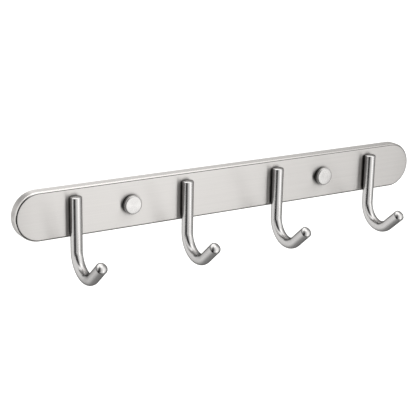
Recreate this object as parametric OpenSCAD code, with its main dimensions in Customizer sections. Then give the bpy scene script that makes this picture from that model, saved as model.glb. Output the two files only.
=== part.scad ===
// Wall rail with four round-rod hooks and two round screw covers, in steel.
// X runs along the rail, Z is up and the wall is the plane y = 0, so the hooks point to -Y.
// The origin is the middle of the rail's back, on the wall.

/* [Rail] */
// Length of the rail over its round ends
rail_length = 386; // [300:1:600]
// Height of the rail
rail_height = 40; // [33:0.5:50]
// Depth of the rail from the wall to its face
rail_depth = 9.2; // [8:0.1:14]
// Thickness of the pressed sheet
sheet = 1.2; // [0.9:0.1:1.6]
// Inside radius of the rail's front edge
rail_inner_r = 1.1; // [0.4:0.1:2]

/* [Hooks] */
// Diameter of the round rod
rod_d = 9.6; // [8:0.1:12]
// Distance between the two hooks of a pair
hook_spacing = 100; // [60:1:120]
// Distance between the two inner hooks
middle_spacing = 89; // [40:1:110]
// Drop from the rail's top edge to the rod's cut top end
rod_top_drop = 5.8; // [4:0.1:7]
// Straight length of the rod below the rail's bottom edge
rod_below = 9.4; // [4:0.1:20]
// Bend radius to the middle of the rod
bend_r = 18.2; // [12:0.1:30]
// Angle that the bend turns through
bend_angle = 131; // [90:1:150]
// Thinning of the rod's radius in the bend
bend_thinning = 0.03; // [0.03:0.01:0.06]
// Straight length after the bend, up to the domed tip
tip_length = 18.4; // [10:0.1:40]
// Height of the domed tip
tip_dome = 2.4; // [1:0.1:4]
// Chamfer on the cut top end
top_chamfer = 0.5; // [0.2:0.1:1]
// Depth of the flat that seats the rod on the rail
seat_flat = 0.6; // [0.2:0.1:1.2]
// Length that the flat runs past the rail's bottom edge
flat_overrun = 1.5; // [0.5:0.1:4]

/* [Hook screws] */
// Thread diameter of the screws that hold the hooks
hook_screw_d = 4; // [3:0.5:5]
// Distance between the two screws of one hook
hook_screw_pitch = 16; // [12:0.5:18]
// Depth that the thread runs into the rod
thread_length = 5.5; // [4:0.1:6]
// Extra depth of the tapped hole past the screw's end
tap_runout = 0.8; // [0.4:0.1:1]
// Diameter of the pan head
pan_head_d = 8; // [6.5:0.1:9]
// Height of the pan head
pan_head_h = 2.7; // [2:0.1:3.2]
// Radius that rounds the pan head
pan_head_edge_r = 1.5; // [0.8:0.1:1.8]
// Width of a slot of the cross recess
recess_w = 1; // [0.6:0.1:1.4]
// Length of a slot of the cross recess
recess_l = 4.4; // [3:0.1:5]
// Depth of the cross recess
recess_depth = 1.6; // [1:0.1:2]
// Outside diameter of the spring washer
washer_d = 7.6; // [6.5:0.1:9]
// Thickness of the spring washer
washer_h = 0.9; // [0.6:0.1:1.2]
// Width of the spring washer's slit
washer_slit = 0.6; // [0.3:0.1:1]

/* [Screw covers] */
// Distance between the two wall screws
wall_screw_spacing = 189; // [100:1:300]
// Height of the wall screws above the rail's centre line
wall_screw_rise = 0; // [0:0.1:3]
// Diameter of the holes for the wall screws
wall_hole_d = 5.5; // [4.5:0.1:6.5]
// Outside diameter of the spacer behind each wall screw hole
spacer_d = 12; // [10:0.1:16]
// Outside diameter of the cover
cover_d = 15.6; // [14.5:0.1:24]
// Height of the cover above the rail's face
cover_h = 5; // [5:0.1:8]
// Radius that rounds the cover's front edge
cover_edge_r = 1.4; // [0.6:0.1:1.7]
// Side wall of the cover
cover_wall = 1.4; // [1:0.1:1.5]
// Thickness of the cover's front
cover_front = 1.4; // [1:0.1:1.6]
// Height of the threaded seat that the cover screws on
seat_h = 3.1; // [2.4:0.1:3.2]
// Rim that the countersink leaves on the seat's top
seat_rim = 1.15; // [0.6:0.05:2]
// Depth of the seat's countersink
countersink_depth = 2.4; // [1.5:0.1:2.4]
// Radius of one turned bead on the seat, standing for its thread
bead_r = 0.2; // [0.1:0.05:0.25]

/* [Clearances] */
// Clearance of a screw in its clearance hole, all round
hole_gap = 0.25; // [0.1:0.05:0.4]
// Clearance between a screw and its tapped hole, all round
thread_gap = 0.02; // [0.02:0.01:0.05]
// Clearance between a cover and its seat, all round
cover_gap = 0.05; // [0.03:0.01:0.1]

/* [Hidden] */
$fn = 96;
overcut = 0.5;
rail_edge_r = sheet + rail_inner_r;
rod_r = rod_d / 2;
hook_x = [for (side = [-1, 1], arm = [0, 1])
    side * (middle_spacing / 2 + (side < 0 ? 1 - arm : arm) * hook_spacing)];
wall_screw_x = [-wall_screw_spacing / 2, wall_screw_spacing / 2];
hook_screw_z = [hook_screw_pitch / 2, -hook_screw_pitch / 2];
rod_axis_depth = rail_depth + rod_r - seat_flat;
rod_top_z = rail_height / 2 - rod_top_drop;
bend_start_z = -rail_height / 2 - rod_below;
rod_straight = rod_top_z - bend_start_z;
bend_lap = 1;
tip_sphere_r = (rod_r * rod_r + tip_dome * tip_dome) / (2 * tip_dome);
rail_back = rail_depth - sheet;
screw_hole_d = hook_screw_d + 2 * hole_gap;
hook_screw_length = washer_h + sheet + thread_length;
cover_bore_r = cover_d / 2 - cover_wall;
seat_r = cover_bore_r - cover_gap;
countersink_r = seat_r - seat_rim;

// Turns a piece built upwards so that its height stands out from the wall
module out_of_wall(x, z, depth) {
    translate([x, -depth, z])
        rotate([90, 0, 0])
            children();
}

// Half of a disc's section: a rectangle with its outer top corner rounded
module rounded_section(r, h, edge_r) {
    square([r - edge_r, h]);
    square([r, h - edge_r]);
    translate([r - edge_r, h - edge_r])
        circle(r = edge_r);
}

// A disc whose top edge is rounded
module rounded_disc(r, h, edge_r) {
    rotate_extrude()
        intersection() {
            rounded_section(r, h, edge_r);
            square([r, h]);
        }
}

// A long block with half-round ends, and its top edge rounded all the way
module rounded_bar(length, r, h, edge_r) {
    half = length / 2 - r;
    for (side = [-1, 1])
        translate([side * half, 0, 0])
            rounded_disc(r, h, edge_r);
    translate([-half, 0, 0])
        rotate([90, 0, 90])
            linear_extrude(height = 2 * half)
                for (flip = [0, 1])
                    mirror([flip, 0])
                        intersection() {
                            rounded_section(r, h, edge_r);
                            square([r, h]);
                        }
}

// The pressed tray that lies on the wall, with its screw holes
module rail() {
    color("gainsboro")
        difference() {
            out_of_wall(0, 0, 0)
                rounded_bar(rail_length, rail_height / 2, rail_depth, rail_edge_r);
            out_of_wall(0, 0, -overcut)
                rounded_bar(rail_length - 2 * sheet, rail_height / 2 - sheet,
                            rail_back + overcut, rail_inner_r);
            for (x = hook_x, z = hook_screw_z)
                out_of_wall(x, z, rail_back - overcut)
                    cylinder(d = screw_hole_d, h = sheet + 2 * overcut);
            for (x = wall_screw_x)
                out_of_wall(x, wall_screw_rise, rail_back - overcut)
                    cylinder(d = wall_hole_d, h = sheet + 2 * overcut);
        }
}

// The straight end of the rod with its domed tip, pointing up
module domed_end() {
    rotate_extrude() {
        square([rod_r, tip_length]);
        intersection() {
            translate([0, tip_length + tip_dome - tip_sphere_r])
                circle(r = tip_sphere_r);
            translate([0, tip_length - overcut])
                square([rod_r, tip_dome + overcut]);
        }
    }
}

// The bent rod before its flat and its tapped holes are cut, around its own straight stretch
module bent_rod() {
    translate([0, 0, bend_start_z])
        cylinder(r = rod_r, h = rod_straight - top_chamfer);
    translate([0, 0, rod_top_z - top_chamfer])
        cylinder(r1 = rod_r, r2 = rod_r - top_chamfer, h = top_chamfer);
    translate([0, -bend_r, bend_start_z])
        rotate([0, -90, 0])
            rotate([0, 0, 90 - bend_lap])
                rotate_extrude(angle = bend_angle + 2 * bend_lap)
                    translate([bend_r, 0])
                        circle(r = rod_r - bend_thinning);
    translate([0, -bend_r, bend_start_z])
        rotate([-bend_angle, 0, 0])
            translate([0, bend_r, 0])
                mirror([0, 0, 1])
                    domed_end();
}

// One hook: the bent rod with a flat that lies on the rail and two tapped holes in it
module hook(x) {
    color("silver")
        difference() {
            translate([x, -rod_axis_depth, 0])
                bent_rod();
            translate([x - rod_r, -rail_depth, -rail_height / 2 - flat_overrun])
                cube([rod_d, rod_d, rail_height + flat_overrun]);
            for (z = hook_screw_z)
                out_of_wall(x, z, rail_depth - overcut)
                    cylinder(d = hook_screw_d + 2 * thread_gap,
                             h = thread_length + tap_runout + overcut);
        }
}

// One pan-head screw that holds a hook from behind the rail
module hook_screw(x, z) {
    color("lightsteelblue")
        difference() {
            union() {
                out_of_wall(x, z, rail_back - washer_h)
                    cylinder(d = hook_screw_d, h = hook_screw_length);
                translate([x, -rail_back + washer_h, z])
                    rotate([-90, 0, 0])
                        rounded_disc(pan_head_d / 2, pan_head_h, pan_head_edge_r);
            }
            for (turn = [0, 90])
                translate([x, -rail_back + washer_h + pan_head_h, z])
                    rotate([0, turn, 0])
                        cube([recess_w, 2 * recess_depth, recess_l], center = true);
        }
}

// The split washer under one screw's head
module spring_washer(x, z) {
    color("slategray")
        out_of_wall(x, z, rail_back - washer_h)
            difference() {
                cylinder(d = washer_d, h = washer_h);
                translate([0, 0, -overcut])
                    cylinder(d = screw_hole_d, h = washer_h + 2 * overcut);
                translate([0, -washer_slit / 2, -overcut])
                    cube([washer_d, washer_slit, washer_h + 2 * overcut]);
            }
}

// The sleeve that carries a wall screw's load from the rail's face to the wall
module wall_spacer(x) {
    color("darkgray")
        out_of_wall(x, wall_screw_rise, 0)
            difference() {
                cylinder(d = spacer_d, h = rail_back);
                translate([0, 0, -overcut])
                    cylinder(d = wall_hole_d, h = rail_back + 2 * overcut);
            }
}

// The threaded seat under a wall screw's head, with a countersink for it
module cover_seat(x) {
    bead_count = 3;
    color("darkgray")
        out_of_wall(x, wall_screw_rise, rail_depth)
            difference() {
                union() {
                    cylinder(r = seat_r - bead_r, h = seat_h);
                    for (i = [1 : bead_count])
                        translate([0, 0, i * seat_h / (bead_count + 1)])
                            rotate_extrude()
                                translate([seat_r - bead_r, 0])
                                    circle(r = bead_r);
                }
                translate([0, 0, -overcut])
                    cylinder(d = wall_hole_d, h = seat_h + 2 * overcut);
                translate([0, 0, seat_h - countersink_depth])
                    cylinder(r1 = wall_hole_d / 2, r2 = countersink_r, h = countersink_depth);
            }
}

// The round cover that screws over a seat and hides the wall screw
module screw_cover(x) {
    color("whitesmoke")
        out_of_wall(x, wall_screw_rise, rail_depth)
            difference() {
                rounded_disc(cover_d / 2, cover_h, cover_edge_r);
                translate([0, 0, -overcut])
                    cylinder(r = cover_bore_r, h = cover_h - cover_front + overcut);
            }
}

rail();
hook(hook_x[0]);  // hook_1
hook(hook_x[1]);  // hook_2
hook(hook_x[2]);  // hook_3
hook(hook_x[3]);  // hook_4
hook_screw(hook_x[0], hook_screw_z[0]);  // hook_screw_1_top
hook_screw(hook_x[0], hook_screw_z[1]);  // hook_screw_1_bottom
hook_screw(hook_x[1], hook_screw_z[0]);  // hook_screw_2_top
hook_screw(hook_x[1], hook_screw_z[1]);  // hook_screw_2_bottom
hook_screw(hook_x[2], hook_screw_z[0]);  // hook_screw_3_top
hook_screw(hook_x[2], hook_screw_z[1]);  // hook_screw_3_bottom
hook_screw(hook_x[3], hook_screw_z[0]);  // hook_screw_4_top
hook_screw(hook_x[3], hook_screw_z[1]);  // hook_screw_4_bottom
spring_washer(hook_x[0], hook_screw_z[0]);  // spring_washer_1_top
spring_washer(hook_x[0], hook_screw_z[1]);  // spring_washer_1_bottom
spring_washer(hook_x[1], hook_screw_z[0]);  // spring_washer_2_top
spring_washer(hook_x[1], hook_screw_z[1]);  // spring_washer_2_bottom
spring_washer(hook_x[2], hook_screw_z[0]);  // spring_washer_3_top
spring_washer(hook_x[2], hook_screw_z[1]);  // spring_washer_3_bottom
spring_washer(hook_x[3], hook_screw_z[0]);  // spring_washer_4_top
spring_washer(hook_x[3], hook_screw_z[1]);  // spring_washer_4_bottom
wall_spacer(wall_screw_x[0]);  // wall_spacer_left
wall_spacer(wall_screw_x[1]);  // wall_spacer_right
cover_seat(wall_screw_x[0]);  // cover_seat_left
cover_seat(wall_screw_x[1]);  // cover_seat_right
screw_cover(wall_screw_x[0]);  // screw_cover_left
screw_cover(wall_screw_x[1]);  // screw_cover_right
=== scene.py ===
import math

import bmesh
import bpy
from mathutils import Matrix, Vector


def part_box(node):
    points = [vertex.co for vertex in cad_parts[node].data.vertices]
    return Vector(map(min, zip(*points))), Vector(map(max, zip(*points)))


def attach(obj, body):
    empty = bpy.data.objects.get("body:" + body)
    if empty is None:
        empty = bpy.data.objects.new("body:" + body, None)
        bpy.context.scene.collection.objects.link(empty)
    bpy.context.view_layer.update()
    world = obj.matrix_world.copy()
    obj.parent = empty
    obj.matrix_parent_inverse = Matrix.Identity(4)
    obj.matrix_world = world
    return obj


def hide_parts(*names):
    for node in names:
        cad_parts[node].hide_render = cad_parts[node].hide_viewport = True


bl_info = {
    "name": "Hook Rack",
    "version": (1, 0, 0),
    "blender": (4, 5, 0),
    "location": "3D View > Sidebar > Hook Rack",
    "description": "Builds a steel wall rail with four rod hooks, its fasteners and its screw covers",
    "category": "Add Mesh",
}

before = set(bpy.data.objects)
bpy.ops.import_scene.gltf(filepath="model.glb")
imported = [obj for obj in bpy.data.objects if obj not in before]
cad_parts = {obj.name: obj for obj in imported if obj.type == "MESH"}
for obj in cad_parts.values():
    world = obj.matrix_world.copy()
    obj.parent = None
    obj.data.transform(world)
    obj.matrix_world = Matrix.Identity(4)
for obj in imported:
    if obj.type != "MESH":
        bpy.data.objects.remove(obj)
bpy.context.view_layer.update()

MM = 0.001
RAIL_LOW, RAIL_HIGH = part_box("rail")
RAIL_DEPTH = -RAIL_LOW.y
RACK_BODY = "rack"
HOOKS = ("1", "2", "3", "4")
HEIGHTS = ("top", "bottom")
SIDES = ("left", "right")
SHARP_DEGREES = 38.0
THREAD_SHARP_DEGREES = 30.0
WELD_DISTANCE = 1e-7


def middle(node):
    """Middle of a node's box."""
    low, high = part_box(node)
    return (low + high) / 2


def back_middle(low, high):
    """Middle of the side of a box that faces the wall."""
    return Vector(((low.x + high.x) / 2, high.y, (low.z + high.z) / 2))


# ---------------------------------------------------------------- sizes and colours

def length(name, description, default):
    """A length property in metres."""
    return bpy.props.FloatProperty(
        name=name, description=description, default=default, min=0.0, precision=5, unit="LENGTH")


def angle(name, description, degrees):
    """An angle property, its default given in degrees."""
    return bpy.props.FloatProperty(
        name=name, description=description, default=math.radians(degrees), unit="ROTATION")


def share(name, description, default):
    """A property from 0 to 1."""
    return bpy.props.FloatProperty(
        name=name, description=description, default=default, min=0.0, max=1.0, subtype="FACTOR")


def colour(name, description, default):
    """A colour property."""
    return bpy.props.FloatVectorProperty(
        name=name, description=description, default=default, min=0.0, max=1.0, size=3, subtype="COLOR")


class RailSettings(bpy.types.PropertyGroup):
    """The pressed rail."""
    sheet: length("Sheet", "Thickness of the pressed sheet", 1.2 * MM)
    edge: length("Front Edge", "Outside radius of the front edge", 2.3 * MM)
    hem: length("Back Hem", "Small radius that breaks the cut edge on the wall", 0.15 * MM)
    tint: colour("Tint", "Colour of the brushed sheet", (0.785, 0.766, 0.749))
    roughness: share("Roughness", "Mean roughness of the brushed sheet", 0.38)
    edge_roughness: share("Edge Roughness", "Roughness of the burnished front edge", 0.14)
    # painted shade: a dark line painted into the colour on the rounded front edge, next to the face
    painted_edge_shade: share("Edge Line", "Darkness of the line where the face's brushing stops", 0.85)
    # painted highlight: the colour of the rounded front edge is made brighter in a band
    painted_edge_highlight: share("Edge Gain", "How much brighter the burnished front edge is", 0.18)
    grain: share("Brush Stretch", "How much the brushing spreads reflections across its lines", 1.0)


class HookSettings(bpy.types.PropertyGroup):
    """The bent rods."""
    bend_radius: length("Bend Radius", "Bend radius to the middle of the rod", 18.2 * MM)
    bend_angle: angle("Bend Angle", "Angle that the bend turns through", 131.0)
    bend_thinning: length("Bend Thinning", "Thinning of the rod's radius in the bend", 0.03 * MM)
    tip_length: length("Tip Length", "Straight length after the bend", 18.4 * MM)
    tip_dome: length("Tip Dome", "Height of the domed tip", 2.4 * MM)
    top_crown: length("Top Crown", "How much the middle of the cut top end stands over its edge", 0.45 * MM)
    top_chamfer: length("Top Chamfer", "Chamfer on the cut top end", 0.5 * MM)
    flat_overrun: length("Flat Overrun", "How far the seating flat runs past the rail", 1.5 * MM)
    tint: colour("Tint", "Colour of the polished rod", (0.80, 0.79, 0.785))
    roughness: share("Roughness", "Mean roughness of the polished rod", 0.17)
    stretch: share("Polish Stretch", "How much the polishing spreads reflections along the rod", 0.9)
    # painted shade: a dark ring painted into the colour where the domed tip starts
    painted_tip_shade: share("Tip Line", "Darkness of the ring where the domed tip starts", 0.7)
    rim_tint: share("Rim Tint", "How bright the rod stays where it turns away from the eye", 0.1)


class ScrewSettings(bpy.types.PropertyGroup):
    """The pan-head screws and their spring washers."""
    head_height: length("Head Height", "Height of the pan head", 2.7 * MM)
    head_edge: length("Head Edge", "Radius that rounds the pan head", 1.5 * MM)
    shank: length("Shank", "Diameter of the thread", 4.0 * MM)
    pitch: length("Pitch", "Pitch of the thread", 0.7 * MM)
    recess_width: length("Recess Width", "Width of a slot of the cross recess", 1.0 * MM)
    recess_length: length("Recess Length", "Length of a slot of the cross recess", 4.4 * MM)
    recess_depth: length("Recess Depth", "Depth of the cross recess", 1.6 * MM)
    recess_taper: share("Recess Taper", "Slot length at the recess's bottom, as a share of its top", 0.45)
    washer_bore: length("Washer Bore", "Bore of the spring washer", 4.5 * MM)
    washer_slit: length("Washer Slit", "Width of the spring washer's slit", 0.6 * MM)
    tint: colour("Tint", "Colour of the plated screws", (0.62, 0.63, 0.66))
    washer_tint: colour("Washer Tint", "Colour of the spring washers", (0.36, 0.36, 0.37))


class CoverSettings(bpy.types.PropertyGroup):
    """The screw covers, their seats and the wall spacers."""
    edge: length("Front Edge", "Radius that rounds the cover's front", 1.4 * MM)
    wall: length("Wall", "Side wall of the cover", 1.4 * MM)
    front: length("Front", "Thickness of the cover's front", 1.4 * MM)
    pitch: length("Pitch", "Pitch of the thread on the seat", 0.8 * MM)
    thread: length("Thread Height", "Height of the thread on the seat", 0.4 * MM)
    wall_hole: length("Wall Hole", "Diameter of the wall screw's hole", 5.5 * MM)
    countersink: length("Countersink", "Diameter of the countersink", 10.4 * MM)
    countersink_depth: length("Countersink Depth", "Depth of the countersink", 2.4 * MM)
    tint: colour("Tint", "Colour of the turned covers", (0.71, 0.70, 0.692))
    seat_tint: colour("Seat Tint", "Colour of the seats and spacers", (0.58, 0.575, 0.57))


class StageSettings(bpy.types.PropertyGroup):
    """The floor, the studio light and the camera."""
    azimuth: angle("Azimuth", "Turn of the camera round the rack, to the left of its front", 31.6)
    elevation: angle("Elevation", "Height angle of the camera", 17.0)
    roll: angle("Roll", "Roll of the camera", 1.2)
    distance: length("Distance", "Distance from the camera to the rack's middle", 0.977)
    aim_right: length("Aim Right", "How far the rack's middle lies to the right of the aim", 0.0129)
    aim_up: length("Aim Up", "How far the rack's middle lies above the aim", 0.0201)
    lens: bpy.props.FloatProperty(
        name="Lens", description="Focal length", default=98.9, subtype="DISTANCE_CAMERA")
    floor_drop: length("Floor Drop", "Height of the rack's middle over the floor", 0.6)
    floor_tint: colour("Floor Tint", "Colour of the floor", (0.93, 0.93, 0.925))


SETTINGS = {
    "rail": RailSettings,
    "hooks": HookSettings,
    "screws": ScrewSettings,
    "covers": CoverSettings,
    "stage": StageSettings,
}


def settings(group):
    """The values of one group, as the scene holds them."""
    return getattr(bpy.context.scene, "hookrack_" + group)


# ---------------------------------------------------------------- mesh helpers

def shade_by_angle(mesh, sharp_degrees):
    """Shades a mesh smooth, except over the edges that turn by more than sharp_degrees."""
    mesh.shade_smooth()
    mesh.set_sharp_from_angle(angle=math.radians(sharp_degrees))


def finish_mesh(name, mesh, origin, material, sharp_degrees=SHARP_DEGREES):
    """Makes an object from a mesh, shades it and gives it its material."""
    mesh.validate()
    shade_by_angle(mesh, sharp_degrees)
    mesh.materials.append(material)
    piece = bpy.data.objects.new(name, mesh)
    piece.location = origin
    bpy.context.scene.collection.objects.link(piece)
    return piece


def mesh_from_bmesh(name, bm):
    """Writes a bmesh into a new mesh with outward normals."""
    bmesh.ops.remove_doubles(bm, verts=bm.verts, dist=WELD_DISTANCE)
    bmesh.ops.dissolve_degenerate(bm, edges=bm.edges, dist=WELD_DISTANCE)
    bmesh.ops.recalc_face_normals(bm, faces=bm.faces)
    mesh = bpy.data.meshes.new(name)
    bm.to_mesh(mesh)
    bm.free()
    return mesh


def add_rings(bm, rings, closed_along=False):
    """Joins closed rings of points with quads and returns the rings' vertices."""
    made = [[bm.verts.new(point) for point in ring] for ring in rings]
    count = len(made[0])
    pairs = list(zip(made, made[1:]))
    if closed_along:
        pairs.append((made[-1], made[0]))
    for low, high in pairs:
        for i in range(count):
            j = (i + 1) % count
            bm.faces.new((low[i], low[j], high[j], high[i]))
    return made


def quarter(radius, steps, centre, start):
    """Points of a quarter circle in a section, from start degrees on."""
    points = []
    for i in range(steps + 1):
        turn = math.radians(start + 90.0 * i / steps)
        points.append((centre[0] + radius * math.cos(turn), centre[1] + radius * math.sin(turn)))
    return points


def thread_wave(turns):
    """Height of a sharp thread from 0 to 1 over one turn."""
    return 1.0 - abs(2.0 * (turns % 1.0) - 1.0)


def turned(bm, profile, segments=96, thread=None):
    """Turns a closed section (radius, height out of the wall) round the axis that points out of the wall.

    thread is (low, high, pitch, height, runout, inner): between low and high, what lies outside
    the radius inner follows a thread of that pitch and height, which fades in and out over runout.
    """
    rings = []
    for k in range(segments):
        turn = 2.0 * math.pi * k / segments
        ring = []
        for radius, height in profile:
            if thread:
                low, high, pitch, tooth, runout, inner = thread
                if low < height < high and radius > inner:
                    fade = min(1.0, (height - low) / runout, (high - height) / runout)
                    radius -= tooth * (1.0 - fade * thread_wave(height / pitch - k / segments))
            ring.append((radius * math.cos(turn), -height, radius * math.sin(turn)))
        rings.append(ring)
    add_rings(bm, rings, closed_along=True)


def cut(piece, cutter):
    """Cuts one object with another and removes the cutter."""
    modifier = piece.modifiers.new("cut", "BOOLEAN")
    modifier.operation = "DIFFERENCE"
    modifier.solver = "EXACT"
    modifier.object = cutter
    depsgraph = bpy.context.evaluated_depsgraph_get()
    done = bpy.data.meshes.new_from_object(piece.evaluated_get(depsgraph))
    piece.modifiers.clear()
    old = piece.data
    name = old.name
    piece.data = done
    bpy.data.meshes.remove(old)
    done.name = name
    shape = cutter.data
    bpy.data.objects.remove(cutter)
    bpy.data.meshes.remove(shape)
    if len(done.polygons) == 0:
        raise RuntimeError(f"the cut left nothing of {piece.name}")


def place(piece, body, slot, *nodes):
    """Makes a piece ride on its body, and stand for its nodes."""
    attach(piece, body)
    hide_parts(*nodes)
    return piece


# ---------------------------------------------------------------- material helpers

NOISE_LOW = 0.3
NOISE_HIGH = 0.7
NOISE_ROUGHNESS = 0.6


def add_node(tree, kind, values=None, **attributes):
    """Adds a shader node, sets its attributes and its inputs."""
    node = tree.nodes.new(kind)
    for key, value in attributes.items():
        setattr(node, key, value)
    for key, value in (values or {}).items():
        node.inputs[key].default_value = value
    return node


def wire(tree, source, target, output=0, socket=0):
    """Links an output of one node to an input of another."""
    tree.links.new(source.outputs[output], target.inputs[socket])


def math_node(tree, operation, first, second=None):
    """A Math node whose inputs are nodes or numbers."""
    node = add_node(tree, "ShaderNodeMath", operation=operation)
    for i, value in enumerate((first, second)):
        if value is None:
            continue
        if isinstance(value, (int, float)):
            node.inputs[i].default_value = value
        else:
            tree.links.new(value, node.inputs[i])
    return node.outputs[0]


def times(tree, first, second):
    """The product of two values."""
    return math_node(tree, "MULTIPLY", first, second)


def rest_of(tree, value):
    """What is left of 1 after value."""
    return math_node(tree, "SUBTRACT", 1.0, value)


def weighed(tree, first, second, share_of_first):
    """A weighed mean of two values."""
    return math_node(tree, "ADD", times(tree, first, share_of_first),
                     times(tree, second, 1.0 - share_of_first))


def steel(name, tint, roughness, stretch=0.0):
    """A new metal and its shader, tree and surface node."""
    material = bpy.data.materials.new(name)
    material.use_nodes = True
    tree = material.node_tree
    shader = tree.nodes["Principled BSDF"]
    shader.inputs["Base Color"].default_value = (*tint, 1.0)
    shader.inputs["Metallic"].default_value = 1.0
    shader.inputs["Roughness"].default_value = roughness
    shader.inputs["Anisotropic"].default_value = stretch
    return material, tree, shader


def streaks(tree, scale, detail, source="Object"):
    """Noise that is drawn out along one axis by its scale."""
    where = add_node(tree, "ShaderNodeTexCoord")
    stretch = add_node(tree, "ShaderNodeMapping", {"Scale": scale})
    noise = add_node(tree, "ShaderNodeTexNoise",
                     {"Scale": 1.0, "Detail": detail, "Roughness": NOISE_ROUGHNESS})
    wire(tree, where, stretch, source)
    wire(tree, stretch, noise)
    return noise.outputs["Fac"]


def span(tree, noise, low, high):
    """Maps a noise, which mostly keeps between NOISE_LOW and NOISE_HIGH, to a range."""
    node = add_node(tree, "ShaderNodeMapRange", {"From Min": NOISE_LOW, "From Max": NOISE_HIGH,
                                                 "To Min": low, "To Max": high})
    tree.links.new(noise, node.inputs["Value"])
    return node.outputs["Result"]


def ramp(tree, value, start, end, low, high):
    """A smooth step from low at start to high at end."""
    node = add_node(tree, "ShaderNodeMapRange", {"From Min": start, "From Max": end,
                                                 "To Min": low, "To Max": high},
                    interpolation_type="SMOOTHSTEP")
    tree.links.new(value, node.inputs["Value"])
    return node.outputs["Result"]


def band(tree, value, rise, fall, height=1.0):
    """Rises smoothly from 0 to height over the range rise, and falls back to 0 over the range fall."""
    return times(tree, ramp(tree, value, *rise, 0.0, height), ramp(tree, value, *fall, 1.0, 0.0))


def blend(tree, share_of_second, first, second):
    """Mixes two values."""
    node = add_node(tree, "ShaderNodeMix", data_type="FLOAT")
    tree.links.new(share_of_second, node.inputs["Factor"])
    for name, value in (("A", first), ("B", second)):
        if isinstance(value, (int, float)):
            node.inputs[name].default_value = value
        else:
            tree.links.new(value, node.inputs[name])
    return node.outputs["Result"]


def corner_shade(tree, reach, closed, opened, darkest):
    """1 on open surfaces, and down to darkest where others stand within reach.

    closed and opened are the shares of free view at which the darkening is full and at which it ends.
    """
    free = add_node(tree, "ShaderNodeAmbientOcclusion", {"Distance": reach}, samples=16)
    return ramp(tree, free.outputs["AO"], closed, opened, darkest, 1.0)


def shaded_tint(tree, shader, tint, value, depth, shade=None):
    """Varies a metal's colour by value, by as much as depth, and darkens it by shade."""
    node = add_node(tree, "ShaderNodeMix", data_type="RGBA")
    set_colour(node, "A", [c * (1.0 - depth) for c in tint])
    set_colour(node, "B", [min(1.0, c * (1.0 + depth)) for c in tint])
    tree.links.new(value, node.inputs[0])
    result = colour_result(node)
    if shade is not None:
        dark = add_node(tree, "ShaderNodeVectorMath", operation="SCALE")
        tree.links.new(result, dark.inputs["Vector"])
        tree.links.new(shade, dark.inputs["Scale"])
        result = dark.outputs["Vector"]
    tree.links.new(result, shader.inputs["Base Color"])


def set_colour(node, name, values):
    """Sets the colour input of a colour Mix node by its name."""
    for socket in node.inputs:
        if socket.name == name and socket.type == "RGBA":
            socket.default_value = (*values, 1.0)


def colour_result(node):
    """The colour output of a colour Mix node."""
    for socket in node.outputs:
        if socket.type == "RGBA":
            return socket


def raise_bumps(tree, shader, value, strength, distance):
    """Bumps a metal by value."""
    node = add_node(tree, "ShaderNodeBump", {"Strength": strength, "Distance": distance})
    tree.links.new(value, node.inputs["Height"])
    tree.links.new(node.outputs["Normal"], shader.inputs["Normal"])


def brushed_sheet():
    """Sheet brushed along its length, with long faint streaks over fine lines."""
    own = settings("rail")
    material, tree, shader = steel("lengthwise_brushed_steel", own.tint, own.roughness, own.grain)
    fine = streaks(tree, (12.0, 2600.0, 2600.0), 4.0)
    long = streaks(tree, (7.0, 500.0, 500.0), 3.0)
    both = weighed(tree, fine, long, 0.5)
    shade = corner_shade(tree, 5.5 * MM, 0.42, 0.85, 0.33)
    # facing is 0 on the rail's sides and 1 on its face, so the rounded front edge lies between
    normal = add_node(tree, "ShaderNodeNewGeometry")
    apart = add_node(tree, "ShaderNodeSeparateXYZ")
    wire(tree, normal, apart, "Normal")
    facing = times(tree, apart.outputs["Y"], -1.0)
    # painted shade: a dark line is painted into the colour on the rounded front edge, next to the face
    line = band(tree, facing, (0.78, 0.88), (0.92, 0.97), own.painted_edge_shade)
    shade = times(tree, shade, rest_of(tree, line))
    # painted highlight: the colour is made brighter in a band on the rounded front edge
    painted_highlight = band(tree, facing, (0.15, 0.4), (0.70, 0.80), own.painted_edge_highlight)
    shade = times(tree, shade, math_node(tree, "ADD", 1.0, painted_highlight))
    shaded_tint(tree, shader, own.tint, span(tree, both, 0.0, 1.0), 0.045, shade)
    edge = band(tree, facing, (0.1, 0.3), (0.9, 0.99))
    rough = span(tree, both, own.roughness - 0.03, own.roughness + 0.03)
    tree.links.new(blend(tree, edge, rough, own.edge_roughness), shader.inputs["Roughness"])
    raise_bumps(tree, shader, fine, 0.05, 0.02 * MM)
    # the brushing spreads reflections across its lines; the small lift keeps the direction from being nil
    across = add_node(tree, "ShaderNodeVectorMath", operation="CROSS_PRODUCT")
    across.inputs[1].default_value = (1.0, 0.0, 0.0)
    steady = add_node(tree, "ShaderNodeVectorMath", operation="ADD")
    steady.inputs[1].default_value = (0.0, 0.0, 0.001)
    wire(tree, normal, across, "Normal")
    wire(tree, across, steady)
    wire(tree, steady, shader, 0, "Tangent")
    return material


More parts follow.
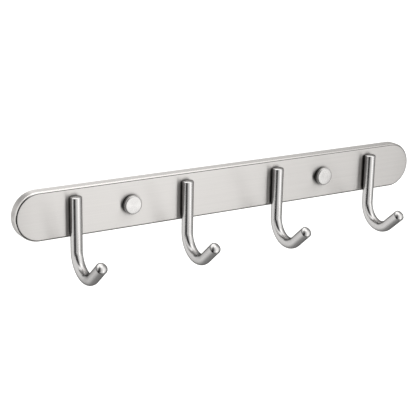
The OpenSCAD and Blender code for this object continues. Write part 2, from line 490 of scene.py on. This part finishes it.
def polished_rod():
    """Rod polished round its length: fine rings of polish and a few long faint draw lines."""
    own = settings("hooks")
    material, tree, shader = steel("polished_rod_steel", own.tint, own.roughness, own.stretch)
    along = add_node(tree, "ShaderNodeTangent", direction_type="UV_MAP", uv_map="along_rod")
    wire(tree, along, shader, 0, "Tangent")
    rings = streaks(tree, (900.0, 3.0, 1.0), 3.0, "UV")
    drawn = streaks(tree, (12.0, 60.0, 1.0), 2.0, "UV")
    both = weighed(tree, rings, drawn, 0.6)
    shader.inputs["Specular Tint"].default_value = (own.rim_tint, own.rim_tint, own.rim_tint, 1.0)
    shade = corner_shade(tree, 14.0 * MM, 0.12, 0.38, 0.3)
    low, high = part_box("hook_1")
    bend_end = high.z - low.z - own.bend_radius - (high.x - low.x) / 2 + own.bend_radius * own.bend_angle
    dome_start = bend_end + own.tip_length
    where = add_node(tree, "ShaderNodeTexCoord")
    run = add_node(tree, "ShaderNodeSeparateXYZ")
    wire(tree, where, run, "UV")
    # painted shade: a dark ring is painted into the colour just past the start of the domed tip
    rise = (dome_start - 0.1 * MM, dome_start + 0.1 * MM)
    fall = (dome_start + 0.4 * MM, dome_start + 1.3 * MM)
    ring = band(tree, run.outputs["X"], rise, fall, own.painted_tip_shade)
    shade = times(tree, shade, rest_of(tree, ring))
    shaded_tint(tree, shader, own.tint, span(tree, both, 0.0, 1.0), 0.03, shade)
    tree.links.new(span(tree, both, own.roughness - 0.03, own.roughness + 0.04), shader.inputs["Roughness"])
    raise_bumps(tree, shader, rings, 0.04, 0.01 * MM)
    return material


def turned_steel(name, tint, roughness, stretch, ring_scale, bump):
    """Steel turned on a lathe: fine rings round the axis that points out of the wall."""
    material, tree, shader = steel(name, tint, roughness, stretch)
    where = add_node(tree, "ShaderNodeTexCoord")
    flat = add_node(tree, "ShaderNodeVectorMath", operation="MULTIPLY")
    flat.inputs[1].default_value = (1.0, 0.0, 1.0)
    far = add_node(tree, "ShaderNodeVectorMath", operation="LENGTH")
    wire(tree, where, flat, "Object")
    wire(tree, flat, far)
    high = add_node(tree, "ShaderNodeSeparateXYZ")
    wire(tree, where, high, "Object")
    both = math_node(tree, "ADD", times(tree, far.outputs["Value"], ring_scale),
                     times(tree, high.outputs["Y"], ring_scale))
    line = add_node(tree, "ShaderNodeCombineXYZ")
    tree.links.new(both, line.inputs["X"])
    noise = add_node(tree, "ShaderNodeTexNoise",
                     {"Scale": 1.0, "Detail": 3.0, "Roughness": NOISE_ROUGHNESS})
    wire(tree, line, noise)
    rings = noise.outputs["Fac"]
    shade = corner_shade(tree, 6.0 * MM, 0.6, 0.92, 0.12)
    shaded_tint(tree, shader, tint, span(tree, rings, 0.0, 1.0), 0.04, shade)
    tree.links.new(span(tree, rings, roughness - 0.04, roughness + 0.05), shader.inputs["Roughness"])
    raise_bumps(tree, shader, rings, bump, 0.02 * MM)
    around = add_node(tree, "ShaderNodeTangent", direction_type="RADIAL", axis="Y")
    wire(tree, around, shader, 0, "Tangent")
    return material


def plated(name, tint, roughness, mottle):
    """Plated steel with a faint mottle and a dulled patch here and there."""
    material, tree, shader = steel(name, tint, roughness)
    spots = streaks(tree, (mottle, mottle, mottle), 4.0)
    shaded_tint(tree, shader, tint, span(tree, spots, 0.0, 1.0), 0.10)
    tree.links.new(span(tree, spots, roughness - 0.06, roughness + 0.10), shader.inputs["Roughness"])
    raise_bumps(tree, shader, spots, 0.06, 0.02 * MM)
    return material


def screw_steel():
    """Bright zinc plating of the screws."""
    return plated("zinc_plated_steel", settings("screws").tint, 0.3, 900.0)


def spring_steel():
    """Dull plating of the spring washers."""
    return plated("dull_spring_steel", settings("screws").washer_tint, 0.42, 1400.0)


def seat_steel():
    """Plain turned steel of the seats and spacers."""
    return turned_steel("turned_bush_steel", settings("covers").seat_tint, 0.34, 0.4, 5000.0, 0.15)


def cover_steel():
    """Finely turned steel of the covers."""
    return turned_steel("turned_cover_steel", settings("covers").tint, 0.24, 0.85, 2600.0, 0.2)


def material_once(name, make):
    """A material by name, made the first time that it is asked for."""
    return bpy.data.materials.get(name) or make()


# ---------------------------------------------------------------- pieces

class HOOKRACK_OT_rail(bpy.types.Operator):
    """Adds the pressed rail with its screw holes"""
    bl_idname = "hookrack.rail"
    bl_label = "Add Rail"

    end_steps = 72
    straight_steps = 24
    edge_steps = 8
    hole_segments = 48

    def outline(self, inset, depth):
        """Points of the rail's rounded outline, drawn in by inset, at a depth out of the wall."""
        radius = (RAIL_HIGH.z - RAIL_LOW.z) / 2 - inset
        half = (RAIL_HIGH.x - RAIL_LOW.x) / 2 - inset - radius
        points = []
        for side in (1, -1):
            for i in range(self.end_steps + 1):
                turn = math.pi * (i / self.end_steps - 0.5)
                points.append((side * (half + radius * math.cos(turn)), -depth,
                               side * radius * math.sin(turn)))
            for i in range(1, self.straight_steps):
                x = half * (1 - 2 * i / self.straight_steps)
                points.append((side * x, -depth, side * radius))
        return points

    def section(self, own):
        """Inset and depth of the rail's section, from the middle of its back round to that of its face."""
        inner_edge = own.edge - own.sheet
        back = RAIL_DEPTH - own.sheet
        points = [(own.sheet + inner_edge, back)]
        for i in range(1, self.edge_steps + 1):
            turn = math.pi / 2 * i / self.edge_steps
            points.append((own.sheet + inner_edge * (1 - math.sin(turn)),
                           back - inner_edge * (1 - math.cos(turn))))
        points += [(own.sheet, own.hem), (own.sheet - own.hem, 0.0), (own.hem, 0.0), (0.0, own.hem)]
        for i in range(self.edge_steps + 1):
            turn = math.pi / 2 * i / self.edge_steps
            points.append((own.edge * (1 - math.cos(turn)), RAIL_DEPTH - own.edge * (1 - math.sin(turn))))
        return points

    def execute(self, context):
        own = settings("rail")
        screws = settings("screws")
        covers = settings("covers")
        bm = bmesh.new()
        rings = add_rings(bm, [self.outline(inset, depth) for inset, depth in self.section(own)])
        bm.faces.new(rings[0])
        bm.faces.new(rings[-1])
        mesh = mesh_from_bmesh("rail_sheet", bm)
        material = material_once("lengthwise_brushed_steel", brushed_sheet)
        piece = finish_mesh("rail_sheet", mesh, Vector(), material)
        holes = [(middle(f"spring_washer_{hook}_{height}"), screws.washer_bore)
                 for hook in HOOKS for height in HEIGHTS]
        holes += [(middle(f"wall_spacer_{side}"), covers.wall_hole) for side in SIDES]
        for where, bore in holes:
            tool = bmesh.new()
            past = 2 * RAIL_DEPTH
            turned(tool, [(0.0, 0.0), (bore / 2, 0.0), (bore / 2, past), (0.0, past)], self.hole_segments)
            cutter = bpy.data.objects.new("drill", mesh_from_bmesh("drill", tool))
            cutter.location = (where.x, 0.0, where.z)
            context.scene.collection.objects.link(cutter)
            cut(piece, cutter)
        shade_by_angle(piece.data, SHARP_DEGREES)
        place(piece, RACK_BODY, "brushed_sheet", "rail")
        return {"FINISHED"}


class HOOKRACK_OT_hooks(bpy.types.Operator):
    """Adds the four bent rods"""
    bl_idname = "hookrack.hooks"
    bl_label = "Add Hooks"

    around = 96
    crown_steps = 6
    bend_steps = 64
    dome_steps = 14
    flat_step = 0.02 * MM

    def stations(self, own, low, high):
        """Middle, direction, radius and distance from the rod's top, for each ring of the rod."""
        radius = (high.x - low.x) / 2
        axis_y = high.y - radius
        bend_z = low.z + own.bend_radius + radius
        flat_end = RAIL_LOW.z - own.flat_overrun
        step = self.flat_step
        down = Vector((0.0, 0.0, -1.0))
        rows = []
        face = radius - own.top_chamfer
        top = [(high.z - own.top_crown * (i / self.crown_steps) ** 2, face * i / self.crown_steps)
               for i in range(self.crown_steps + 1)]
        top.append((high.z - own.top_crown - own.top_chamfer, radius))
        for z, r in top + [(flat_end + step, radius), (flat_end - step, radius)]:
            rows.append((Vector((0.0, axis_y, z)), down, r, high.z - z))
        straight = high.z - bend_z
        centre = Vector((0.0, axis_y - own.bend_radius, bend_z))
        for i in range(self.bend_steps + 1):
            turn = own.bend_angle * i / self.bend_steps
            out = Vector((0.0, math.cos(turn), -math.sin(turn)))
            along = Vector((0.0, -math.sin(turn), -math.cos(turn)))
            rows.append((centre + own.bend_radius * out, along, radius - own.bend_thinning,
                         straight + own.bend_radius * turn))
        start, along, _radius, run = rows[-1]
        ball = (radius ** 2 + own.tip_dome ** 2) / (2 * own.tip_dome)
        ball_middle = own.tip_length + own.tip_dome - ball
        widest = math.asin(radius / ball)
        for i in range(self.dome_steps + 1):
            turn = widest * (1 - i / self.dome_steps)
            reach = ball_middle + ball * math.cos(turn)
            rows.append((start + along * reach, along, ball * math.sin(turn), run + reach))
        return rows

    def rod(self, own, low, high, hook):
        """Mesh of one rod, with its seating flat and a UV map that runs along it."""
        bm = bmesh.new()
        layer = bm.loops.layers.uv.new("along_rod")
        flat_y = RAIL_LOW.y
        flat_end = RAIL_LOW.z - own.flat_overrun
        rows = self.stations(own, low, high)
        rings = []
        for where, along, radius, _run in rows:
            side = Vector((1.0, 0.0, 0.0))
            other = along.cross(side)
            ring = []
            for k in range(self.around):
                turn = 2 * math.pi * k / self.around
                point = where + radius * (math.cos(turn) * side + math.sin(turn) * other)
                if point.z > flat_end:
                    point.y = min(point.y, flat_y)
                ring.append(point)
            rings.append(ring)
        made = add_rings(bm, rings)
        order = {}
        for i, ring in enumerate(made):
            for k, vert in enumerate(ring):
                order[vert] = (rows[i][3], k)
        for face in bm.faces:
            wraps = {order[v][1] for v in face.verts} == {0, self.around - 1}
            for loop in face.loops:
                run, k = order[loop.vert]
                turn = self.around if wraps and k == 0 else k
                loop[layer].uv = (run, turn / self.around)
        return mesh_from_bmesh(f"hook_rod_{hook}", bm)

    def execute(self, context):
        own = settings("hooks")
        for hook in HOOKS:
            low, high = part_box(f"hook_{hook}")
            mesh = self.rod(own, low, high, hook)
            where = Vector((middle(f"hook_{hook}").x, 0.0, 0.0))
            material = material_once("polished_rod_steel", polished_rod)
            piece = finish_mesh(f"hook_rod_{hook}", mesh, where, material)
            place(piece, RACK_BODY, "satin_rod", f"hook_{hook}")
        return {"FINISHED"}


class HOOKRACK_OT_screws(bpy.types.Operator):
    """Adds the pan-head screws that hold the hooks from behind"""
    bl_idname = "hookrack.screws"
    bl_label = "Add Hook Screws"

    segments = 64
    edge_steps = 8
    rows_per_turn = 8
    tooth_share = 0.61
    narrowest = 0.8
    rim_bevel = 0.1 * MM
    end_bevel = 0.3 * MM
    thread_skin = 0.05 * MM

    def slot_cutter(self, context, own, upright):
        """A tapered block for one slot of the cross recess, its wide end past the head's top."""
        rings = []
        for depth, taper in ((-own.recess_depth, own.recess_taper), (0.0, 1.0), (own.recess_depth, 1.0)):
            wide = own.recess_width / 2 * max(taper, self.narrowest)
            tall = own.recess_length / 2 * taper
            corners = [(wide, tall), (-wide, tall), (-wide, -tall), (wide, -tall)]
            if not upright:
                corners = [(z, -x) for x, z in corners]
            rings.append([(x, depth, z) for x, z in corners])
        bm = bmesh.new()
        made = add_rings(bm, rings)
        bm.faces.new(made[0])
        bm.faces.new(made[-1])
        cutter = bpy.data.objects.new("slot", mesh_from_bmesh("slot", bm))
        context.scene.collection.objects.link(cutter)
        return cutter

    def section(self, own, total, radius):
        """Closed section from the head's top to the shank's end, measured out of the wall."""
        tooth_rows = self.rows_per_turn * round((total - own.head_height) / own.pitch)
        head = own.head_height
        shank = own.shank / 2
        points = [(0.0, 0.0)]
        edge = quarter(own.head_edge, self.edge_steps, (radius - own.head_edge, own.head_edge), -90.0)
        points += [(radius / 2, 0.0)] + edge
        points += [(radius, head - self.rim_bevel), (radius - self.rim_bevel, head), (shank, head)]
        for i in range(1, tooth_rows):
            points.append((shank, head + (total - head) * i / tooth_rows))
        points += [(shank - self.end_bevel, total), (0.0, total)]
        return points

    def execute(self, context):
        own = settings("screws")
        tooth = self.tooth_share * own.pitch
        for hook in HOOKS:
            for height in HEIGHTS:
                low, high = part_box(f"hook_screw_{hook}_{height}")
                total = high.y - low.y
                radius = (high.z - low.z) / 2
                bm = bmesh.new()
                inner = own.shank / 2 - self.thread_skin
                thread = (own.head_height, total, own.pitch, tooth, own.pitch, inner)
                turned(bm, self.section(own, total, radius), self.segments, thread)
                mesh = mesh_from_bmesh(f"pan_screw_{hook}_{height}", bm)
                seat = middle(f"spring_washer_{hook}_{height}").x
                where = Vector((seat, high.y, (low.z + high.z) / 2))
                material = material_once("zinc_plated_steel", screw_steel)
                piece = finish_mesh(f"pan_screw_{hook}_{height}", mesh, where, material)
                for upright in (True, False):
                    cutter = self.slot_cutter(context, own, upright)
                    cutter.location = where
                    cut(piece, cutter)
                shade_by_angle(piece.data, THREAD_SHARP_DEGREES)
                place(piece, RACK_BODY, "screw_steel", f"hook_screw_{hook}_{height}")
        return {"FINISHED"}


class HOOKRACK_OT_washers(bpy.types.Operator):
    """Adds the split spring washers under the screws' heads"""
    bl_idname = "hookrack.washers"
    bl_label = "Add Spring Washers"

    segments = 72

    def execute(self, context):
        own = settings("screws")
        bevel = 0.1 * MM
        for hook in HOOKS:
            for height in HEIGHTS:
                name = f"spring_washer_{hook}_{height}"
                low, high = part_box(name)
                inner = own.washer_bore / 2
                outer = (high.z - low.z) / 2
                thick = high.y - low.y
                section = [(inner + bevel, 0.0), (outer - bevel, 0.0),
                           (outer, bevel), (outer, thick - bevel),
                           (outer - bevel, thick), (inner + bevel, thick),
                           (inner, thick - bevel), (inner, bevel)]
                rings = []
                for k in range(self.segments + 1):
                    ring = []
                    for radius, depth in section:
                        half_slit = own.washer_slit / 2 / radius
                        slant = (depth / thick - 0.5) * own.washer_slit / radius
                        turn = half_slit + slant + (2 * math.pi - 2 * half_slit) * k / self.segments
                        ring.append((radius * math.cos(turn), -depth, radius * math.sin(turn)))
                    rings.append(ring)
                bm = bmesh.new()
                made = add_rings(bm, rings)
                bm.faces.new(made[0])
                bm.faces.new(made[-1])
                mesh = mesh_from_bmesh(f"split_washer_{hook}_{height}", bm)
                where = Vector((low.x + outer, high.y, (low.z + high.z) / 2))
                material = material_once("dull_spring_steel", spring_steel)
                piece = finish_mesh(f"split_washer_{hook}_{height}", mesh, where, material)
                place(piece, RACK_BODY, "spring_steel", name)
        return {"FINISHED"}


class HOOKRACK_OT_spacers(bpy.types.Operator):
    """Adds the sleeves between the rail's face and the wall"""
    bl_idname = "hookrack.spacers"
    bl_label = "Add Wall Spacers"

    def execute(self, context):
        own = settings("covers")
        bevel = 0.4 * MM
        for side in SIDES:
            low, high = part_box(f"wall_spacer_{side}")
            outer = (high.z - low.z) / 2
            inner = own.wall_hole / 2
            tall = high.y - low.y
            section = [(inner + bevel, 0.0), (outer - bevel, 0.0), (outer, bevel), (outer, tall - bevel),
                       (outer - bevel, tall), (inner, tall), (inner, bevel)]
            bm = bmesh.new()
            turned(bm, section)
            mesh = mesh_from_bmesh(f"spacer_sleeve_{side}", bm)
            where = back_middle(low, high)
            material = material_once("turned_bush_steel", seat_steel)
            piece = finish_mesh(f"spacer_sleeve_{side}", mesh, where, material, THREAD_SHARP_DEGREES)
            place(piece, RACK_BODY, "turned_bush", f"wall_spacer_{side}")
        return {"FINISHED"}


class HOOKRACK_OT_seats(bpy.types.Operator):
    """Adds the threaded seats that the covers screw on"""
    bl_idname = "hookrack.seats"
    bl_label = "Add Cover Seats"

    segments = 96
    rows_per_turn = 10
    thread_skin = 0.1 * MM

    def execute(self, context):
        own = settings("covers")
        for side in SIDES:
            low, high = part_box(f"cover_seat_{side}")
            outer = (high.z - low.z) / 2
            inner = own.wall_hole / 2
            tall = high.y - low.y
            rows = self.rows_per_turn * round(tall / own.pitch)
            section = [(inner, 0.0), (outer - own.thread, 0.0)]
            section += [(outer, tall * i / rows) for i in range(1, rows)]
            section += [(outer - own.thread, tall), (own.countersink / 2, tall),
                        (inner, tall - own.countersink_depth)]
            bm = bmesh.new()
            thread = (0.0, tall, own.pitch, own.thread, own.pitch / 2, outer - self.thread_skin)
            turned(bm, section, self.segments, thread)
            mesh = mesh_from_bmesh(f"threaded_seat_{side}", bm)
            where = back_middle(low, high)
            material = material_once("turned_bush_steel", seat_steel)
            piece = finish_mesh(f"threaded_seat_{side}", mesh, where, material, THREAD_SHARP_DEGREES)
            place(piece, RACK_BODY, "turned_bush", f"cover_seat_{side}")
        return {"FINISHED"}


class HOOKRACK_OT_covers(bpy.types.Operator):
    """Adds the round screw covers"""
    bl_idname = "hookrack.covers"
    bl_label = "Add Screw Covers"

    segments = 128
    edge_steps = 12

    def execute(self, context):
        own = settings("covers")
        bevel = 0.15 * MM
        for side in SIDES:
            low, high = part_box(f"screw_cover_{side}")
            outer = (high.z - low.z) / 2
            tall = high.y - low.y
            inner = outer - own.wall
            floor = tall - own.front
            section = [(inner + bevel, 0.0), (outer - bevel, 0.0), (outer, bevel)]
            section += quarter(own.edge, self.edge_steps, (outer - own.edge, tall - own.edge), 0.0)
            section += [(outer / 2, tall), (0.0, tall), (0.0, floor), (inner - bevel, floor),
                        (inner, floor - bevel), (inner, bevel)]
            bm = bmesh.new()
            turned(bm, section, self.segments)
            mesh = mesh_from_bmesh(f"round_cover_{side}", bm)
            where = back_middle(low, high)
            material = material_once("turned_cover_steel", cover_steel)
            piece = finish_mesh(f"round_cover_{side}", mesh, where, material)
            place(piece, f"cover_{side}", "turned_cover", f"screw_cover_{side}")
        return {"FINISHED"}


# ---------------------------------------------------------------- stage

def lobe(tree, direction, centre, inner, outer):
    """1 within inner degrees of the centre of a bearing or height, and 0 from outer degrees on."""
    shifted = math_node(tree, "SUBTRACT", direction, math.radians(centre))
    turn = add_node(tree, "ShaderNodeMath", operation="WRAP")
    tree.links.new(shifted, turn.inputs[0])
    turn.inputs[1].default_value = math.pi
    turn.inputs[2].default_value = -math.pi
    away = math_node(tree, "ABSOLUTE", turn.outputs[0])
    return ramp(tree, away, math.radians(inner), math.radians(outer), 1.0, 0.0)


def patch(tree, across, upward):
    """A soft patch of the room: a lobe in bearing by a lobe in height."""
    return times(tree, lobe(tree, *across), lobe(tree, *upward))


class HOOKRACK_OT_stage(bpy.types.Operator):
    """Adds the floor, the soft studio light and the camera"""
    bl_idname = "hookrack.stage"
    bl_label = "Add Stage"

    floor_reach = 6.0
    floor_steps = 12
    floor_roughness = 0.9
    floor_glow = 0.35

    def floor(self, own):
        """A wide pale floor, far enough below not to catch a shadow."""
        steps = self.floor_steps
        bm = bmesh.new()
        bmesh.ops.create_grid(bm, x_segments=steps, y_segments=steps, size=self.floor_reach)
        mesh = bpy.data.meshes.new("floor")
        bm.to_mesh(mesh)
        bm.free()
        floor = bpy.data.objects.new("floor", mesh)
        floor.location.z = -own.floor_drop
        floor.visible_glossy = False
        material = bpy.data.materials.new("pale_floor")
        material.use_nodes = True
        shader = material.node_tree.nodes["Principled BSDF"]
        shader.inputs["Base Color"].default_value = (*own.floor_tint, 1.0)
        shader.inputs["Roughness"].default_value = self.floor_roughness
        shader.inputs["Emission Color"].default_value = (1.0, 1.0, 1.0, 1.0)
        shader.inputs["Emission Strength"].default_value = self.floor_glow
        mesh.materials.append(material)
        bpy.context.scene.collection.objects.link(floor)

    def light(self):
        """The room that the steel reflects, while all other light is an even white.

        It has a wide soft panel on the right with a brighter card in it, a dimmer one on the left, a
        pale ceiling with a brighter part behind, and dark places: the gap between the two panels, the
        floor in front, the wall's corner and a part behind the rack.
        """
        world = bpy.data.worlds.new("studio")
        bpy.context.scene.world = world
        world.use_nodes = True
        tree = world.node_tree
        background = tree.nodes["Background"]
        where = add_node(tree, "ShaderNodeTexCoord")
        apart = add_node(tree, "ShaderNodeSeparateXYZ")
        wire(tree, where, apart, "Generated")
        front = times(tree, apart.outputs["Y"], -1.0)
        bearing = math_node(tree, "ARCTAN2", apart.outputs["X"], front)
        height = math_node(tree, "ARCSINE", apart.outputs["Z"])

        level = lobe(tree, height, -17.0, 8.0, 20.0)
        seen = math_node(tree, "ADD", bearing, times(tree, level, math.radians(20.0)))
        right = times(tree, lobe(tree, seen, 37.0, 2.0, 70.0), 0.80)
        card = patch(tree, (bearing, 28.0, 1.0, 14.0), (height, -17.0, 8.0, 34.0))
        left = times(tree, lobe(tree, seen, -132.0, 84.0, 130.0), 0.5)
        above = ramp(tree, height, math.radians(50.0), math.radians(58.0), 0.28, 0.69)
        room = math_node(tree, "ADD", math_node(tree, "ADD", right, left), above)
        room = math_node(tree, "ADD", room, times(tree, card, 0.55))
        back = patch(tree, (bearing, 140.0, 35.0, 70.0), (height, 66.0, 12.0, 22.0))
        room = math_node(tree, "ADD", room, times(tree, back, 0.3))

        overhead = ramp(tree, height, math.radians(60.0), math.radians(80.0), 1.0, 0.27)
        gap = times(tree, lobe(tree, seen, -38.0, 10.0, 34.0), overhead)
        footer = patch(tree, (bearing, 27.0, 50.0, 60.0), (height, -28.0, 1.0, 9.0))
        corner = patch(tree, (bearing, -165.0, 10.0, 26.0), (height, 31.0, 12.0, 26.0))
        behind = patch(tree, (bearing, 150.0, 25.0, 45.0), (height, 17.0, 14.0, 30.0))
        for dark, depth in ((behind, 0.45), (gap, 0.98), (footer, 0.6), (corner, 0.92)):
            keep = rest_of(tree, times(tree, dark, depth))
            room = times(tree, room, keep)
        upward = ramp(tree, height, math.radians(-76.0), math.radians(-27.0), 0.37, 1.0)
        shaped = times(tree, room, upward)
        rays = add_node(tree, "ShaderNodeLightPath")
        strength = blend(tree, rays.outputs["Is Glossy Ray"], 1.0, shaped)
        tree.links.new(strength, background.inputs["Strength"])
        background.inputs["Color"].default_value = (1.0, 0.995, 0.985, 1.0)

    def camera(self, own):
        """A long lens from the left front, a little above."""
        swing = Matrix.Rotation(-own.azimuth, 4, "Z")
        tilt = Matrix.Rotation(math.pi / 2 - own.elevation, 4, "X")
        roll = Matrix.Rotation(own.roll, 4, "Z")
        turn = swing @ tilt @ roll
        offset = Vector((-own.aim_right, -own.aim_up, own.distance))
        data = bpy.data.cameras.new("camera")
        data.lens = own.lens
        data.clip_end = 50.0
        camera = bpy.data.objects.new("camera", data)
        camera.matrix_world = Matrix.Translation(turn @ offset) @ turn
        bpy.context.scene.collection.objects.link(camera)
        bpy.context.scene.camera = camera

    def execute(self, context):
        own = settings("stage")
        self.floor(own)
        self.light()
        self.camera(own)
        context.scene.view_settings.view_transform = "Standard"
        return {"FINISHED"}


class HOOKRACK_PT_panel(bpy.types.Panel):
    """Lists the rack's operators and sizes"""
    bl_idname = "HOOKRACK_PT_panel"
    bl_label = "Hook Rack"
    bl_space_type = "VIEW_3D"
    bl_region_type = "UI"
    bl_category = "Hook Rack"

    def draw(self, context):
        layout = self.layout
        for operator in OPERATORS:
            layout.operator(operator.bl_idname)
        for group in SETTINGS:
            box = layout.box()
            box.label(text=group.title())
            own = settings(group)
            for name in own.__annotations__:
                box.prop(own, name)


OPERATORS = (
    HOOKRACK_OT_rail,
    HOOKRACK_OT_hooks,
    HOOKRACK_OT_screws,
    HOOKRACK_OT_washers,
    HOOKRACK_OT_spacers,
    HOOKRACK_OT_seats,
    HOOKRACK_OT_covers,
    HOOKRACK_OT_stage,
)


def register():
    """Registers the add-on's classes and its settings."""
    for group, kind in SETTINGS.items():
        bpy.utils.register_class(kind)
        setattr(bpy.types.Scene, "hookrack_" + group, bpy.props.PointerProperty(type=kind))
    for kind in OPERATORS:
        bpy.utils.register_class(kind)
    bpy.utils.register_class(HOOKRACK_PT_panel)


def unregister():
    """Removes the add-on's classes and its settings."""
    bpy.utils.unregister_class(HOOKRACK_PT_panel)
    for kind in reversed(OPERATORS):
        bpy.utils.unregister_class(kind)
    for group, kind in SETTINGS.items():
        delattr(bpy.types.Scene, "hookrack_" + group)
        bpy.utils.unregister_class(kind)


def main():
    """Builds the rack and its stage."""
    register()
    bpy.ops.hookrack.rail()
    bpy.ops.hookrack.hooks()
    bpy.ops.hookrack.screws()
    bpy.ops.hookrack.washers()
    bpy.ops.hookrack.spacers()
    bpy.ops.hookrack.seats()
    bpy.ops.hookrack.covers()
    bpy.ops.hookrack.stage()


if __name__ == "__main__":
    main()
